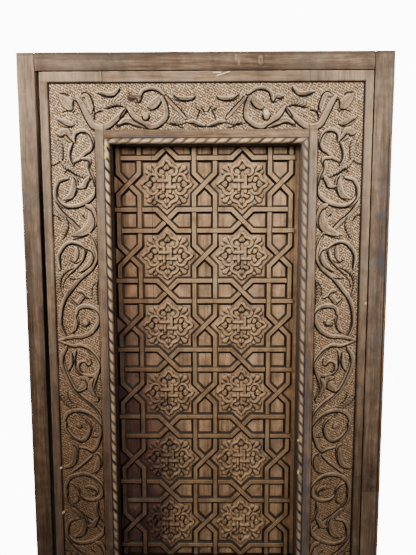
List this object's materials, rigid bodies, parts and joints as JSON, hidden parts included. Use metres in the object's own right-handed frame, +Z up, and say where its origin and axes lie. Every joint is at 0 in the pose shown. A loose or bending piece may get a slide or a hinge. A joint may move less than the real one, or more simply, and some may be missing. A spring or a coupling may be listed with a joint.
{
  "type": "carved panelled door set",
  "caption": "Rectangular timber door set: a framed leaf with vine-carved stiles and rails, sunk panels of interlaced straps and rosettes in roped beads, hinged in a plain frame.",
  "frame": {"origin": "middle of the underside of the sill, where the set is fixed in its wall opening", "axes": "+X to the right as seen from the carved face, +Y into the wall, away from the carved face, +Z up"},
  "size_m": [0.954, 0.0688, 1.98],
  "materials": {
    "frame_wood": "dry weathered brown",
    "carved_wood": "dry weathered brown",
    "rope_wood": "rubbed lighter brown",
    "hinge_steel": "dark, dull"
  },
  "bodies": {
    "frame": {"frame_head": "frame_wood", "frame_jamb_left": "frame_wood", "frame_jamb_right": "frame_wood", "frame_sill": "frame_wood", "hinge_1_frame_half": "hinge_steel", "hinge_2_frame_half": "hinge_steel", "hinge_3_frame_half": "hinge_steel"},
    "leaf": {"leaf_panel_lower": "carved_wood", "leaf_panel_upper": "carved_wood", "leaf_rail_bottom": "carved_wood", "leaf_rail_middle": "carved_wood", "leaf_rail_top": "carved_wood", "leaf_stile_left": "carved_wood", "leaf_stile_right": "carved_wood", "lower_bead_bottom": "rope_wood", "lower_bead_left": "rope_wood", "lower_bead_right": "rope_wood", "lower_bead_top": "rope_wood", "upper_bead_bottom": "rope_wood", "upper_bead_left": "rope_wood", "upper_bead_right": "rope_wood", "upper_bead_top": "rope_wood", "hinge_1_leaf_half": "hinge_steel", "hinge_2_leaf_half": "hinge_steel", "hinge_3_leaf_half": "hinge_steel"}
  },
  "joints": [
    {"name": "leaf_hinge", "type": "hinge", "parent": "frame", "child": "leaf", "pos_m": [0.4255, 0.0313, 0.991], "axis": [0, 0, -1], "range_deg": [0, 180]}
  ]
}
